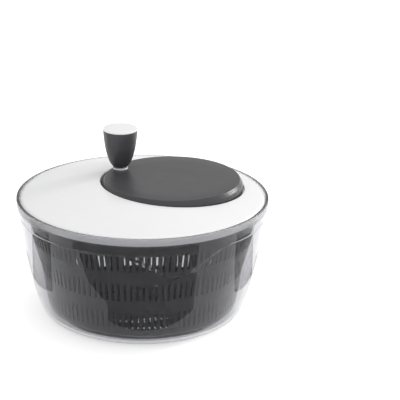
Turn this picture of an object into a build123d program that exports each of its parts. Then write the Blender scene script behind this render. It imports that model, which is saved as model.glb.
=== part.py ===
from build123d import *
import math
import os

# Salad spinner, millimetres, +Z up. The origin is on the bowl's axis, on the surface it stands on.
# A crank disc turns off-centre on the lid. Its internal ring gear drives a pinion on the lid's
# axis, and the pinion's shaft turns a three-armed spider that is keyed into the basket's rim.

# ---- driving dimensions ----------------------------------------------------------------------

# bowl
bowl_height = 128.0
rim_radius = 130.0
bowl_wall = 2.6
bowl_floor = 3.0
base_inset = 40.0            # flat base, in from the rim radius
base_corner = 17.0           # radius of the turn from base to wall
base_turn = 70.0             # degrees of that turn
waist_inset = 7.0            # wall radius at waist_height, in from the rim radius
waist_height = 80.0
collar_depth = 18.5          # lower edge of the collar, below the rim
collar_inset = 2.7           # wall radius at the collar's lower edge, in from the rim radius
collar_proud = 0.7
lip_width = 3.6
seat_depth = 8.4             # ledge that carries the lid, below the rim
seat_width = 3.2
register_height = 17.5       # upright inner wall below the ledge
apron_angle = -72.0          # direction of the pouring apron, degrees from +X
apron_depth = 24.0
apron_half_width = 58.0
post_radius = 6.0            # centre post that the basket pivots on
post_height = 8.0
edge_break = 1.0             # chamfer on moulded ends

# foot ring
foot_drop = 1.2              # how far the ring holds the bowl off the table
foot_groove = 1.4
foot_radius = 83.5
foot_width = 7.0

# basket
basket_gap = 5.4             # basket rim to the bowl's upright inner wall
basket_rim_drop = 6.5        # basket rim below the bowl rim
basket_rim_width = 2.3
basket_rim_height = 2.5
basket_wall = 2.2
basket_lean = 8.8            # degrees that the wall leans out
basket_corner = 9.0
basket_floor_height = 10.0
slot_count = 108
slot_rows = 3
slot_width = 2.7
slot_band = 14.6             # solid band between two rows
slot_bottom_margin = 10.4
slot_top_margin = 17.0
floor_slot_rows = ((34.0, 16.0, 36), (56.0, 16.0, 60), (77.0, 14.0, 84))  # radius, length, count
floor_slot_width = 2.4
basket_hub_foot = 21.0       # radius of the raised hub where it leaves the floor
basket_hub_top = 13.5
basket_hub_height = 12.5
basket_hub_wall = 3.0        # wall round the bush
hub_top_inset = 1.0          # hollow under the hub, in from its outside at the top
hub_foot_inset = 1.5         # and at its foot

# pivot under the basket
pivot_gap = 0.3
pivot_foot_radius = 9.5
pivot_foot_height = 9.0
pivot_skirt = 4.0            # foot's skirt, down over the post
pin_radius = 3.0
pin_seat = 1.2               # pin's lower end above the post
pin_bore_depth = 11.5
pin_groove = 0.6
pin_end = 1.4                # pin above its clip
shaft_chamfer = 0.5
bush_wall = 3.0
bush_length = 5.2
bush_flange = 1.2
bush_flange_width = 2.4
clip_thickness = 0.8
clip_width = 2.4             # retaining ring, out from its shaft
hub_cap_height = 5.0
hub_cap_radius = 11.5
hub_cap_round = 3.0
hub_cap_wall = 2.0
hub_cap_top = 1.4

# gearing
gear_module = 1.4
ring_teeth = 64
pinion_teeth = 16
pressure_angle = 20.0
tooth_addendum = 0.8         # in modules
tooth_dedendum = 1.05        # in modules
tooth_foot = 0.3             # how far a tooth is let into its rim
flank_steps = 4
gear_backlash = 0.16
pinion_height = 7.5
ring_gear_rise = 0.5         # ring gear's lower face above the pinion's
ring_gear_wall = 2.0

# lid
lid_clearance = 0.5
lid_wall = 2.4
lid_seat_gap = 0.2
lid_edge_drop = 0.6          # dome edge below the bowl rim
lid_edge_radius = 4.0
dome_rise = 13.2
pit_margin = 15.0            # lid edge to the crank well
pit_clearance = 1.7
shaft_boss_radius = 9.0
shaft_boss_drop = 6.0
axle_boss_radius = 10.5
axle_boss_drop = 3.6

# crank
crank_direction = 26.0       # direction of the crank axle from the lid's centre, degrees from +X
crank_proud = 1.2            # disc top above the dome's top
crank_thickness = 3.2
crank_wall = 2.4
crank_bevel_width = 3.3
crank_bevel_height = 4.2
crank_shoulder_round = 3.0
crank_top_round = 0.8
crank_skirt_gap = 1.6        # skirt to the floor of the well
crank_hub_radius = 11.0
axle_radius = 5.0
axle_bush_flange = 2.0
axle_bush_wall = 2.0
axle_bush_lip = 3.0          # flange, out from the bush
axle_washer_inset = 1.0      # washer, in from the boss's edge
axle_screw_radius = 1.9
axle_screw_length = 9.0
axle_screw_gap = 0.5         # screw's tip to the end of its bore
axle_screw_head = 2.0
axle_screw_head_radius = 3.8
screw_count = 4
screw_radius = 1.2
screw_head_radius = 2.6
screw_head_height = 1.6
ear_radius = 4.0
ear_thickness = 3.0
ear_overlap = 0.6            # how far an ear is let into the ring gear

# knob
knob_direction = 153.0       # direction of the knob from the crank axle, degrees from +X
knob_inset = 11.2            # knob axis in from the disc's edge
knob_height = 43.9
knob_top_radius = 18.1
knob_foot_radius = 7.0
knob_collar_radius = 8.2
knob_collar_height = 1.5
knob_cap_height = 1.7
knob_plug_depth = 4.0
knob_plug_gap = 0.3
knob_plug_wall = 2.0
knob_core_height = 16.0
knob_wall = 3.4
spindle_radius = 2.5
spindle_boss_radius = 6.0
spindle_boss_height = 6.0
spindle_end = 1.2            # spindle above its clip
spindle_chamfer = 0.4
knob_clip_width = 2.0

# drive shaft and spider
shaft_radius = 4.0
shaft_flat = 0.8
shaft_bush_wall = 2.0
shaft_bush_flange = 1.2
shaft_bush_lip = 2.0         # flange, out from the bush
shaft_end = 0.8              # shaft above the pinion's clip
shaft_recess = 0.4           # shaft's lower end inside the hub, so that the screw clamps the hub
spider_arms = 3
spider_arm_width = 14.0
spider_arm_thickness = 2.4
spider_drop = 6.5            # arms below the lid's shaft boss
spider_hub_radius = 11.0
spider_hub_height = 11.0
spider_plate_radius = 40.0
spider_rise_run = 12.0       # radial run of the arm's upward bend
spider_bend_inset = 8.0      # end of that bend, in from the basket's wall
spider_bend_shift = 1.2      # upper corners of the bend, in from the lower ones
spider_washer_inset = 3.0    # washer, in from the hub's edge
spider_lift = 0.3            # arm end above the basket rim
key_depth = 3.0
key_length = 3.6
key_reach = 0.7              # key's end, out from the basket's wall
key_clearance = 0.4
key_room = 6.0               # notch, in from the key
washer_thickness = 0.7

cut_past = 1.0               # how far a cut runs past the wall it goes through
run_gap = 0.3                # end play between turning faces
shaft_play = 0.05            # radial play of the running shafts

# ---- levels and radii that follow ------------------------------------------------------------

bowl_inside = foot_drop + bowl_floor
seat_z = bowl_height - seat_depth
lip_inner = rim_radius - lip_width
register_radius = lip_inner - seat_width
post_top = bowl_inside + post_height

basket_rim_radius = register_radius - basket_gap
basket_rim_z = bowl_height - basket_rim_drop
basket_wall_top = basket_rim_radius - basket_rim_width
basket_wall_turn = 90.0 - basket_lean
lean = math.radians(basket_lean)
corner_end_z = basket_floor_height + basket_corner * (1 - math.cos(math.radians(basket_wall_turn)))
flange_z = basket_rim_z - basket_rim_height
basket_floor_radius = (
    basket_wall_top
    - (flange_z - corner_end_z) * math.tan(lean)
    - basket_corner * math.sin(math.radians(basket_wall_turn))
)
basket_floor_top = basket_floor_height + basket_wall
basket_hub_z = basket_floor_height + basket_hub_height
slot_floor_z = basket_floor_height + slot_bottom_margin
slot_height = (
    basket_rim_z - slot_top_margin - slot_floor_z - (slot_rows - 1) * slot_band
) / slot_rows

pivot_foot_z = post_top + pivot_gap - pivot_skirt
pivot_foot_top = pivot_foot_z + pivot_foot_height
pivot_bush_z = pivot_foot_top + run_gap
pivot_bush_top = pivot_bush_z + bush_length
pin_z = post_top + pivot_gap + pin_seat
pin_clip_z = pivot_bush_top + run_gap
pin_top = pin_clip_z + clip_thickness + pin_end

ring_pitch = gear_module * ring_teeth / 2
pinion_pitch = gear_module * pinion_teeth / 2
gear_offset = ring_pitch - pinion_pitch
ring_gear_radius = ring_pitch + tooth_dedendum * gear_module + ring_gear_wall
crank_x = gear_offset * math.cos(math.radians(crank_direction))
crank_y = gear_offset * math.sin(math.radians(crank_direction))

lid_radius = lip_inner - lid_clearance
lid_bottom = seat_z + lid_seat_gap
lid_edge_z = bowl_height - lid_edge_drop
dome_z = lid_edge_z + dome_rise
pit_floor_z = lid_edge_z
pit_under_z = pit_floor_z - lid_wall
pit_radius = lid_radius - gear_offset - pit_margin - lid_wall
shaft_boss_z = pit_under_z - shaft_boss_drop
axle_boss_z = pit_under_z - axle_boss_drop

crank_radius = pit_radius - pit_clearance
crank_top = dome_z + crank_proud
crank_under = crank_top - crank_thickness
crank_skirt_z = pit_floor_z + crank_skirt_gap
crank_hub_z = pit_floor_z + axle_bush_flange + run_gap
axle_top = crank_under + crank_thickness / 2
axle_bush_radius = axle_radius + shaft_play + axle_bush_wall
axle_washer_z = axle_boss_z - run_gap - washer_thickness
ear_orbit = ring_gear_radius + ear_radius - ear_overlap

knob_orbit = crank_radius - knob_inset
knob_x = crank_x + knob_orbit * math.cos(math.radians(knob_direction))
knob_y = crank_y + knob_orbit * math.sin(math.radians(knob_direction))
knob_z = crank_top + knob_collar_height + run_gap
knob_top = crank_top + knob_height
knob_cap_z = knob_top - knob_cap_height
knob_core_z = knob_z + knob_core_height
knob_core_radius = knob_foot_radius + (knob_top_radius - knob_foot_radius) / 2 - knob_wall
knob_mouth_radius = knob_top_radius - knob_wall
knob_plug_radius = knob_mouth_radius - knob_plug_gap - (
    (knob_mouth_radius - knob_core_radius) * knob_plug_depth / (knob_cap_z - knob_core_z)
)
spindle_clip_z = knob_core_z + run_gap
spindle_top = spindle_clip_z + clip_thickness + spindle_end

pinion_z = pit_floor_z + shaft_bush_flange + run_gap
pinion_top = pinion_z + pinion_height
ring_gear_z = pinion_z + ring_gear_rise
shaft_top = pinion_top + clip_thickness + shaft_end
shaft_bush_radius = shaft_radius + shaft_play + shaft_bush_wall
thrust_washer_z = shaft_boss_z - run_gap - washer_thickness
spider_hub_z = thrust_washer_z - spider_hub_height
spider_arm_z = shaft_boss_z - spider_drop - spider_arm_thickness
spider_end_z = basket_rim_z + spider_lift
spider_reach = basket_wall_top + key_reach
shaft_foot = spider_hub_z + shaft_recess


def radial_plane(angle):
    """The upright plane through the bowl's axis whose x runs outwards at this angle."""
    a = math.radians(angle)
    return Plane(
        origin=(0, 0, 0),
        x_dir=(math.cos(a), math.sin(a), 0),
        z_dir=(math.sin(a), -math.cos(a), 0),
    )


def mesh_plane(x, y, z):
    """A level plane at a gear's centre, with its x along the line through both gear centres."""
    a = math.radians(crank_direction)
    return Plane(origin=(x, y, z), x_dir=(math.cos(a), math.sin(a), 0))


def involute(angle):
    return math.tan(angle) - angle


def tooth_outline(teeth, root, tip, widening):
    """Points of one involute tooth about the x axis, root to tip to root."""
    pitch = gear_module * teeth / 2
    base = pitch * math.cos(math.radians(pressure_angle))
    half = math.pi / (2 * teeth) + widening / (2 * pitch) + involute(math.radians(pressure_angle))
    start = max(root, base)
    flank = []
    for step in range(flank_steps + 1):
        r = start + (tip - start) * step / flank_steps
        turn = half - involute(math.acos(min(1.0, base / r)))
        flank.append((r * math.cos(turn), r * math.sin(turn)))
    foot_turn = math.atan2(flank[0][1], flank[0][0])
    foot_r = root - tooth_foot
    foot = (foot_r * math.cos(foot_turn), foot_r * math.sin(foot_turn))
    upper = [foot] + flank
    return upper + [(x, -y) for x, y in reversed(upper)]


def ring(inner, outer, height):
    """A washer or bush standing on the current sketch plane."""
    Cylinder(outer, height, align=(Align.CENTER, Align.CENTER, Align.MIN))
    Cylinder(inner, height, align=(Align.CENTER, Align.CENTER, Align.MIN), mode=Mode.SUBTRACT)


os.makedirs("parts", exist_ok=True)


def save(part, name):
    part.label = name
    export_step(part, "parts/" + name + ".step")


# ---- bowl: one clear moulding, with the lid's ledge, a collar and a pouring apron --------------

collar_z = bowl_height - collar_depth
collar_radius = rim_radius - collar_inset

with BuildPart() as apron:
    with BuildSketch(Plane.XZ):
        with BuildLine():
            apron_low = collar_z - apron_depth
            slope = (waist_inset - collar_inset) / (collar_z - waist_height)
            low_radius = rim_radius - collar_inset - slope * apron_depth
            Polyline(
                (low_radius - bowl_wall / 2, apron_low),
                (low_radius + collar_proud, apron_low),
                (collar_radius + collar_proud, collar_z),
                (collar_radius + collar_proud, collar_z + collar_proud),
                (collar_radius - bowl_wall / 2, collar_z + collar_proud),
                close=True,
            )
        make_face()
    revolve()
    with BuildSketch(
        Plane(
            origin=(0, 0, collar_z + collar_proud),
            x_dir=(-math.sin(math.radians(apron_angle)), math.cos(math.radians(apron_angle)), 0),
            z_dir=(math.cos(math.radians(apron_angle)), math.sin(math.radians(apron_angle)), 0),
        )
    ):
        with BuildLine():
            top = Line((apron_half_width, 0), (-apron_half_width, 0))
            Spline(
                top @ 1,
                (-apron_half_width * 0.36, -apron_depth * 0.42),
                (0, -apron_depth),
                (apron_half_width * 0.4, -apron_depth * 0.5),
                top @ 0,
                tangents=((1, 0), (1, 0)),
            )
        make_face()
    extrude(amount=rim_radius * 1.2, mode=Mode.INTERSECT)

with BuildPart() as bowl:
    with BuildSketch(Plane.XZ) as bowl_section:
        with BuildLine():
            under = Line((0, foot_drop), (rim_radius - base_inset, foot_drop))
            turn = JernArc(under @ 1, under % 1, base_corner, base_turn)
            belly = TangentArc(turn @ 1, (rim_radius - waist_inset, waist_height), tangent=turn % 1)
            upper = Polyline(
                belly @ 1,
                (collar_radius, collar_z),
                (collar_radius + collar_proud, collar_z + collar_proud),
                (rim_radius, bowl_height - seat_depth / 2),
                (rim_radius, bowl_height),
                (lip_inner, bowl_height),
                (lip_inner, seat_z),
                (register_radius, seat_z),
                (register_radius, seat_z - register_height),
            )
            inner_start = Line((0, bowl_inside), (rim_radius - base_inset, bowl_inside))
            inner_turn = JernArc(
                inner_start @ 1, inner_start % 1, base_corner - bowl_floor, base_turn
            )
            inner_waist = (rim_radius - waist_inset - bowl_wall, waist_height)
            inner_belly = TangentArc(inner_turn @ 1, inner_waist, tangent=inner_turn % 1)
            Line(inner_belly @ 1, upper @ 1)
            Line((0, foot_drop), (0, bowl_inside))
        make_face()
        fillet(bowl_section.vertices().group_by(Axis.Y)[-1], lip_width * 0.4)
    revolve()
    add(apron.part)
    with BuildSketch(Plane.XY.offset(bowl_inside)):
        Circle(post_radius)
    extrude(amount=post_height)
    chamfer(bowl.edges().filter_by(GeomType.CIRCLE).filter_by_position(
        Axis.Z, post_top, post_top), edge_break)
    with BuildSketch(Plane.XY.offset(foot_drop)):
        Circle(foot_radius + foot_width / 2)
        Circle(foot_radius - foot_width / 2, mode=Mode.SUBTRACT)
    extrude(amount=foot_groove, mode=Mode.SUBTRACT)
save(bowl.part, "bowl")

# ---- foot ring: soft ring pressed into a groove under the bowl ---------------------------------

with BuildPart() as foot_ring:
    with BuildSketch(Plane.XY):
        Circle(foot_radius + foot_width / 2)
        Circle(foot_radius - foot_width / 2, mode=Mode.SUBTRACT)
    extrude(amount=foot_drop + foot_groove)
    fillet(foot_ring.edges().group_by(Axis.Z)[0], foot_drop * 0.7)
save(foot_ring.part, "foot_ring")

# ---- pivot: a foot that sits on the bowl's post and stays with the basket ----------------------

with BuildPart() as pivot_foot:
    with Locations((0, 0, pivot_foot_z)):
        Cylinder(pivot_foot_radius, pivot_foot_height, align=(Align.CENTER, Align.CENTER, Align.MIN))
    chamfer(pivot_foot.edges().group_by(Axis.Z)[0], edge_break)
    with Locations((0, 0, pivot_foot_z)):
        Cylinder(
            post_radius + pivot_gap,
            post_top + pivot_gap - pivot_foot_z,
            align=(Align.CENTER, Align.CENTER, Align.MIN),
            mode=Mode.SUBTRACT,
        )
    with Locations((0, 0, pin_z)):
        Cylinder(
            pin_radius,
            pin_bore_depth,
            align=(Align.CENTER, Align.CENTER, Align.MIN),
            mode=Mode.SUBTRACT,
        )
save(pivot_foot.part, "pivot_foot")

with BuildPart() as pivot_pin:
    with Locations((0, 0, pin_z)):
        Cylinder(pin_radius, pin_top - pin_z, align=(Align.CENTER, Align.CENTER, Align.MIN))
    chamfer(pivot_pin.edges().group_by(Axis.Z)[-1], shaft_chamfer)
    with Locations((0, 0, pin_clip_z)):
        Cylinder(
            pin_radius * 1.5,
            clip_thickness,
            align=(Align.CENTER, Align.CENTER, Align.MIN),
            mode=Mode.SUBTRACT,
        )
        Cylinder(
            pin_radius - pin_groove, clip_thickness, align=(Align.CENTER, Align.CENTER, Align.MIN)
        )
save(pivot_pin.part, "pivot_pin")


def retaining_clip(x, y, z, shaft, groove, outer):
    """A flat retaining ring with its opening, seated in a shaft groove."""
    with BuildPart() as clip:
        with BuildSketch(Plane(origin=(x, y, z))):
            Circle(outer)
            Circle(shaft - groove, mode=Mode.SUBTRACT)
            with Locations((outer, 0)):
                Rectangle(outer * 2, (shaft - groove) * 1.5, mode=Mode.SUBTRACT)
        extrude(amount=clip_thickness)
    return clip.part


save(retaining_clip(0, 0, pin_clip_z, pin_radius, pin_groove, pin_radius + clip_width), "pivot_clip")

# ---- basket: black moulding with three rows of slots, on its own bush --------------------------

with BuildPart() as basket:
    with BuildSketch(Plane.XZ):
        with BuildLine():
            bush_hole = pin_radius + shaft_play + bush_wall
            hub_under = pivot_bush_z + bush_flange
            low = Polyline(
                (bush_hole, basket_hub_z),
                (bush_hole, hub_under),
                (bush_hole + basket_hub_wall, hub_under),
                (bush_hole + basket_hub_wall, basket_hub_z - basket_wall),
                (basket_hub_top - hub_top_inset, basket_hub_z - basket_wall),
                (basket_hub_foot - hub_foot_inset, basket_floor_height),
                (basket_floor_radius, basket_floor_height),
            )
            low_turn = JernArc(low @ 1, (1, 0), basket_corner, basket_wall_turn)
            high = Polyline(
                low_turn @ 1,
                (basket_wall_top, flange_z),
                (basket_rim_radius, flange_z),
                (basket_rim_radius, basket_rim_z),
                (basket_wall_top - basket_wall, basket_rim_z),
                (basket_wall_top - basket_wall, flange_z),
            )
            inner_low = Polyline(
                (bush_hole, basket_hub_z),
                (basket_hub_top, basket_hub_z),
                (basket_hub_foot, basket_floor_top),
                (basket_floor_radius, basket_floor_top),
            )
            inner_corner = JernArc(
                inner_low @ 1, (1, 0), basket_corner - basket_wall, basket_wall_turn
            )
            Line(inner_corner @ 1, high @ 1)
        make_face()
    revolve()
    with BuildSketch(*[
        Plane.XY.offset(slot_floor_z + row * (slot_height + slot_band)) for row in range(slot_rows)
    ]):
        slot_reach = basket_rim_radius - basket_floor_radius + basket_corner
        slot_orbit = basket_floor_radius - basket_corner + slot_reach / 2 + basket_corner / 2
        with PolarLocations(slot_orbit, slot_count):
            Rectangle(slot_reach, slot_width)
    extrude(amount=slot_height, mode=Mode.SUBTRACT)
    with BuildSketch(Plane.XY.offset(basket_floor_height - cut_past)):
        for radius, length, count in floor_slot_rows:
            with PolarLocations(radius, count):
                SlotOverall(length, floor_slot_width)
    extrude(amount=basket_wall + 2 * cut_past, mode=Mode.SUBTRACT)
    for arm in range(spider_arms):
        with BuildSketch(radial_plane(arm * 360 / spider_arms)):
            with Locations((spider_reach + key_clearance, basket_rim_z + cut_past)):
                Rectangle(
                    key_length + key_room,
                    key_depth + key_clearance + cut_past,
                    align=(Align.MAX, Align.MAX),
                )
        extrude(amount=spider_arm_width / 2 + key_clearance, both=True, mode=Mode.SUBTRACT)
save(basket.part, "basket")

with BuildPart() as basket_bush:
    with Locations((0, 0, pivot_bush_z)):
        Cylinder(bush_hole, bush_length, align=(Align.CENTER, Align.CENTER, Align.MIN))
        Cylinder(
            bush_hole + bush_flange_width,
            bush_flange,
            align=(Align.CENTER, Align.CENTER, Align.MIN),
        )
        Cylinder(
            pin_radius + shaft_play,
            bush_length,
            align=(Align.CENTER, Align.CENTER, Align.MIN),
            mode=Mode.SUBTRACT,
        )
save(basket_bush.part, "basket_bush")

with BuildPart() as hub_cap:
    with Locations((0, 0, basket_hub_z)):
        Cylinder(hub_cap_radius, hub_cap_height, align=(Align.CENTER, Align.CENTER, Align.MIN))
    fillet(hub_cap.edges().group_by(Axis.Z)[-1], hub_cap_round)
    with Locations((0, 0, basket_hub_z)):
        Cylinder(
            hub_cap_radius - hub_cap_wall,
            hub_cap_height - hub_cap_top,
            align=(Align.CENTER, Align.CENTER, Align.MIN),
            mode=Mode.SUBTRACT,
        )
save(hub_cap.part, "basket_hub_cap")

# ---- lid: white dome with an off-centre well for the crank disc --------------------------------

with BuildPart() as lid_hollow:
    with BuildSketch(Plane.XZ):
        with BuildLine():
            under_dome = TangentArc(
                (0, dome_z - lid_wall), (lid_radius - lid_wall, lid_edge_z - lid_wall), tangent=(1, 0)
            )
            Polyline(
                under_dome @ 1,
                (lid_radius - lid_wall, lid_bottom - cut_past),
                (0, lid_bottom - cut_past),
                (0, dome_z - lid_wall),
            )
        make_face()
    revolve()
    with Locations((crank_x, crank_y, pit_under_z)):
        Cylinder(
            pit_radius + lid_wall,
            dome_rise * 2,
            align=(Align.CENTER, Align.CENTER, Align.MIN),
            mode=Mode.SUBTRACT,
        )

with BuildPart() as lid:
    with BuildSketch(Plane.XZ) as lid_outside:
        with BuildLine():
            dome = TangentArc((0, dome_z), (lid_radius, lid_edge_z), tangent=(1, 0))
            Polyline(dome @ 1, (lid_radius, lid_bottom), (0, lid_bottom), (0, dome_z))
        make_face()
        fillet(lid_outside.vertices().sort_by_distance((lid_radius, lid_edge_z))[0], lid_edge_radius)
    revolve()
    add(lid_hollow.part, mode=Mode.SUBTRACT)
    with Locations((crank_x, crank_y, pit_floor_z)):
        Cylinder(
            pit_radius, dome_rise * 2, align=(Align.CENTER, Align.CENTER, Align.MIN), mode=Mode.SUBTRACT
        )
    with BuildSketch(Plane.XY.offset(shaft_boss_z)):
        Circle(shaft_boss_radius)
    extrude(amount=pit_floor_z - shaft_boss_z)
    with BuildSketch(Plane.XY.offset(axle_boss_z)):
        with Locations((crank_x, crank_y)):
            Circle(axle_boss_radius)
    extrude(amount=pit_floor_z - axle_boss_z)
    with BuildSketch(Plane.XY.offset(shaft_boss_z)):
        Circle(shaft_bush_radius)
        with Locations((crank_x, crank_y)):
            Circle(axle_bush_radius)
    extrude(amount=dome_rise, mode=Mode.SUBTRACT)
save(lid.part, "lid")


def flanged_bush(x, y, bottom, top, bore, wall, flange_wall, flange):
    """A plain bush whose flange stands on the floor of the crank well."""
    with BuildPart() as bush:
        with Locations((x, y, bottom)):
            Cylinder(bore + wall, top - bottom, align=(Align.CENTER, Align.CENTER, Align.MIN))
        with Locations((x, y, top)):
            Cylinder(bore + flange_wall, flange, align=(Align.CENTER, Align.CENTER, Align.MIN))
        with Locations((x, y, bottom)):
            Cylinder(
                bore,
                top - bottom + flange,
                align=(Align.CENTER, Align.CENTER, Align.MIN),
                mode=Mode.SUBTRACT,
            )
    return bush.part


save(
    flanged_bush(
        0, 0, shaft_boss_z, pit_floor_z, shaft_radius + shaft_play, shaft_bush_wall,
        shaft_bush_wall + shaft_bush_lip, shaft_bush_flange,
    ),
    "shaft_bush",
)
save(
    flanged_bush(
        crank_x, crank_y, axle_boss_z, pit_floor_z, axle_radius + shaft_play, axle_bush_wall,
        axle_bush_wall + axle_bush_lip, axle_bush_flange,
    ),
    "axle_bush",
)

# ---- crank: bevelled disc, its axle and the ring gear screwed under it -------------------------

ear_angles = [knob_direction + 360 / screw_count * (i + 0.5) for i in range(screw_count)]
crank_plane = Plane(origin=(crank_x, crank_y, 0), x_dir=(1, 0, 0), z_dir=(0, -1, 0))

with BuildPart() as crank_disc:
    with BuildSketch(crank_plane) as disc_section:
        with BuildLine():
            Polyline(
                (0, crank_top),
                (crank_radius - crank_bevel_width, crank_top),
                (crank_radius, crank_top - crank_bevel_height),
                (crank_radius, crank_skirt_z),
                (crank_radius - crank_wall, crank_skirt_z),
                (crank_radius - crank_wall, crank_top - crank_bevel_height),
                (crank_radius - crank_bevel_width - crank_wall / 2, crank_under),
                (crank_hub_radius, crank_under),
                (crank_hub_radius, crank_hub_z),
                (0, crank_hub_z),
                close=True,
            )
        make_face()
        fillet(
            disc_section.vertices().sort_by_distance(
                (crank_radius, crank_top - crank_bevel_height))[0], crank_shoulder_round)
        fillet(
            disc_section.vertices().sort_by_distance(
                (crank_radius - crank_bevel_width, crank_top))[0], crank_top_round)
    revolve(axis=Axis((crank_x, crank_y, 0), (0, 0, 1)))
    with BuildSketch(Plane.XY.offset(crank_under - spindle_boss_height)):
        with Locations((knob_x, knob_y)):
            Circle(spindle_boss_radius)
    extrude(amount=spindle_boss_height + crank_thickness / 2)
    with BuildSketch(Plane.XY.offset(crank_hub_z)):
        with Locations((crank_x, crank_y)):
            Circle(axle_radius)
    extrude(amount=axle_top - crank_hub_z, mode=Mode.SUBTRACT)
    with BuildSketch(Plane.XY.offset(crank_under - spindle_boss_height)):
        with Locations((knob_x, knob_y)):
            Circle(spindle_radius)
    extrude(amount=spindle_boss_height + crank_thickness, mode=Mode.SUBTRACT)
    with BuildSketch(Plane.XY.offset(crank_under)):
        with Locations((crank_x, crank_y)):
            for angle in ear_angles:
                with Locations((
                    ear_orbit * math.cos(math.radians(angle)),
                    ear_orbit * math.sin(math.radians(angle)),
                )):
                    Circle(screw_radius)
    extrude(amount=crank_thickness * 0.6, mode=Mode.SUBTRACT)
save(crank_disc.part, "crank_disc")

with BuildPart() as ring_gear:
    with BuildSketch(mesh_plane(crank_x, crank_y, ring_gear_z)):
        Circle(ring_gear_radius)
        Circle(ring_pitch - tooth_addendum * gear_module, mode=Mode.SUBTRACT)
        with BuildLine():
            Polyline(
                *tooth_outline(
                    ring_teeth,
                    ring_pitch - tooth_addendum * gear_module,
                    ring_pitch + tooth_dedendum * gear_module,
                    gear_backlash,
                ),
                close=True,
            )
        space = make_face(mode=Mode.PRIVATE)
        with PolarLocations(0, ring_teeth):
            add(space, mode=Mode.SUBTRACT)
    extrude(amount=crank_under - ring_gear_z)
    with BuildSketch(Plane(origin=(crank_x, crank_y, crank_under - ear_thickness))):
        for angle in ear_angles:
            with Locations((
                ear_orbit * math.cos(math.radians(angle)),
                ear_orbit * math.sin(math.radians(angle)),
            )):
                Circle(ear_radius)
        Circle(ring_gear_radius - ring_gear_wall / 2, mode=Mode.SUBTRACT)
    extrude(amount=ear_thickness)
    with BuildSketch(Plane(origin=(crank_x, crank_y, crank_under - ear_thickness))):
        for angle in ear_angles:
            with Locations((
                ear_orbit * math.cos(math.radians(angle)),
                ear_orbit * math.sin(math.radians(angle)),
            )):
                Circle(screw_radius)
    extrude(amount=ear_thickness, mode=Mode.SUBTRACT)
save(ring_gear.part, "ring_gear")


def machine_screw(x, y, head_z, head_radius, head_height, radius, length):
    """A cross-recess screw driven upwards, its head below."""
    with BuildPart() as screw:
        with Locations((x, y, head_z)):
            Cylinder(head_radius, head_height, align=(Align.CENTER, Align.CENTER, Align.MIN))
        fillet(screw.edges().group_by(Axis.Z)[0], head_height * 0.4)
        with Locations((x, y, head_z)):
            Box(
                head_radius * 1.1, radius * 0.5, head_height * 0.5,
                align=(Align.CENTER, Align.CENTER, Align.MIN), mode=Mode.SUBTRACT,
            )
            Box(
                radius * 0.5, head_radius * 1.1, head_height * 0.5,
                align=(Align.CENTER, Align.CENTER, Align.MIN), mode=Mode.SUBTRACT,
            )
        with Locations((x, y, head_z + head_height)):
            Cylinder(radius, length, align=(Align.CENTER, Align.CENTER, Align.MIN))
    return screw.part


ear_screws = [
    machine_screw(
        crank_x + ear_orbit * math.cos(math.radians(angle)),
        crank_y + ear_orbit * math.sin(math.radians(angle)),
        crank_under - ear_thickness - screw_head_height,
        screw_head_radius,
        screw_head_height,
        screw_radius,
        ear_thickness + crank_thickness * 0.5,
    )
    for angle in ear_angles
]
save(Compound(children=ear_screws), "ring_gear_screws")

with BuildPart() as crank_axle:
    with Locations((crank_x, crank_y, axle_washer_z + washer_thickness)):
        Cylinder(
            axle_radius,
            axle_top - axle_washer_z - washer_thickness,
            align=(Align.CENTER, Align.CENTER, Align.MIN),
        )
        Cylinder(
            axle_screw_radius,
            axle_screw_length,
            align=(Align.CENTER, Align.CENTER, Align.MIN),
            mode=Mode.SUBTRACT,
        )
save(crank_axle.part, "crank_axle")

with BuildPart() as axle_washer:
    with Locations((crank_x, crank_y, axle_washer_z)):
        ring(axle_screw_radius, axle_boss_radius - axle_washer_inset, washer_thickness)
save(axle_washer.part, "axle_washer")

save(
    machine_screw(
        crank_x,
        crank_y,
        axle_washer_z - axle_screw_head,
        axle_screw_head_radius,
        axle_screw_head,
        axle_screw_radius,
        washer_thickness + axle_screw_length - axle_screw_gap,
    ),
    "axle_screw",
)

# ---- knob: egg-cup grip with a white cap, free to turn on its spindle --------------------------

knob_plane = Plane(origin=(knob_x, knob_y, 0), x_dir=(1, 0, 0), z_dir=(0, -1, 0))
knob_axis = Axis((knob_x, knob_y, 0), (0, 0, 1))
spindle_foot = crank_under - spindle_boss_height

with BuildPart() as knob_spindle:
    with Locations((knob_x, knob_y, spindle_foot)):
        Cylinder(
            spindle_radius, spindle_top - spindle_foot, align=(Align.CENTER, Align.CENTER, Align.MIN)
        )
    chamfer(knob_spindle.edges().group_by(Axis.Z)[-1], spindle_chamfer)
    with Locations((knob_x, knob_y, spindle_clip_z)):
        Cylinder(
            spindle_radius * 1.5,
            clip_thickness,
            align=(Align.CENTER, Align.CENTER, Align.MIN),
            mode=Mode.SUBTRACT,
        )
        Cylinder(
            spindle_radius - pin_groove, clip_thickness, align=(Align.CENTER, Align.CENTER, Align.MIN)
        )
save(knob_spindle.part, "knob_spindle")

with BuildPart() as knob_collar:
    with Locations((knob_x, knob_y, crank_top)):
        ring(spindle_radius, knob_collar_radius, knob_collar_height)
    fillet(
        knob_collar.edges().group_by(Axis.Z)[-1].sort_by(SortBy.RADIUS)[-1], knob_collar_height * 0.4
    )
save(knob_collar.part, "knob_collar")

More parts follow.
